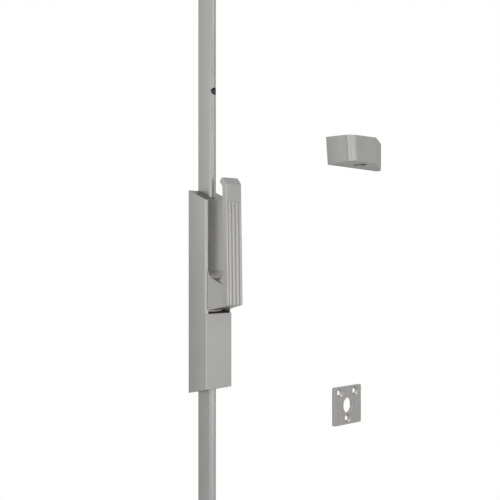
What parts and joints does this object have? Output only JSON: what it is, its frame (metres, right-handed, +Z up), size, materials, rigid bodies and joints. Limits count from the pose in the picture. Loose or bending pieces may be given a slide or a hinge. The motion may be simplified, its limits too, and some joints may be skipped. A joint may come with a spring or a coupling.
{
  "type": "cremone bolt",
  "caption": "Surface-mounted cremone bolt: a slim case with a grooved swing lever drives an upper and a lower bolt rod, with a top keeper and a floor plate.",
  "frame": {"origin": "centre of the case's back face, on the door face", "axes": "+Z up along the rods, -Y out into the room, +X to the right seen from the room"},
  "size_m": [0.2805, 0.044, 0.9],
  "materials": {
    "painted": "satin silver-grey powder coat",
    "bare_steel": "brushed, uncoated",
    "nylon": "moulded nylon"
  },
  "bodies": {
    "case": {"case": "painted", "back_plate": "bare_steel", "plate_screws": "bare_steel", "hinge_pin": "bare_steel", "hinge_washers": "bare_steel", "pinion_shaft": "bare_steel", "pinion_clip": "bare_steel", "top_guide": "nylon", "bottom_guide": "nylon", "keeper": "painted", "floor_plate": "bare_steel"},
    "lever": {"lever": "painted", "lever_gear": "bare_steel", "gear_dowel": "bare_steel"},
    "lower_bolt": {"lower_rack": "bare_steel", "lower_rod": "painted", "lower_coupling_pin": "bare_steel", "lower_tip": "bare_steel", "lower_tip_pin": "bare_steel"},
    "upper_bolt": {"upper_rack": "bare_steel", "upper_rod": "painted", "upper_coupling_pin": "bare_steel", "upper_tip": "bare_steel", "upper_tip_pin": "bare_steel"},
    "pinion": {"pinion": "bare_steel"}
  },
  "joints": [
    {"name": "lever_hinge", "type": "hinge", "parent": "case", "child": "lever", "pos_m": [0, -0.018, -0.021], "axis": [1, 0, 0], "range_deg": [0, 85]},
    {"name": "lower_slide", "type": "slide", "parent": "case", "child": "lower_bolt", "axis": [0, 0, 1], "range_m": [0, 0.01484]},
    {"name": "upper_slide", "type": "slide", "parent": "case", "child": "upper_bolt", "axis": [0, 0, -1], "range_m": [0, 0.01484]},
    {"name": "pinion_spin", "type": "hinge", "parent": "case", "child": "pinion", "pos_m": [0, -0.0045, 0.018], "axis": [0, 1, 0], "range_deg": [0, 141.7]}
  ],
  "couplings": [
    {"joint": "lower_slide", "follows": "lever_hinge", "m_per_rad": 0.01},
    {"joint": "upper_slide", "follows": "lever_hinge", "m_per_rad": 0.01},
    {"joint": "pinion_spin", "follows": "lever_hinge", "ratio": 1.6667}
  ]
}
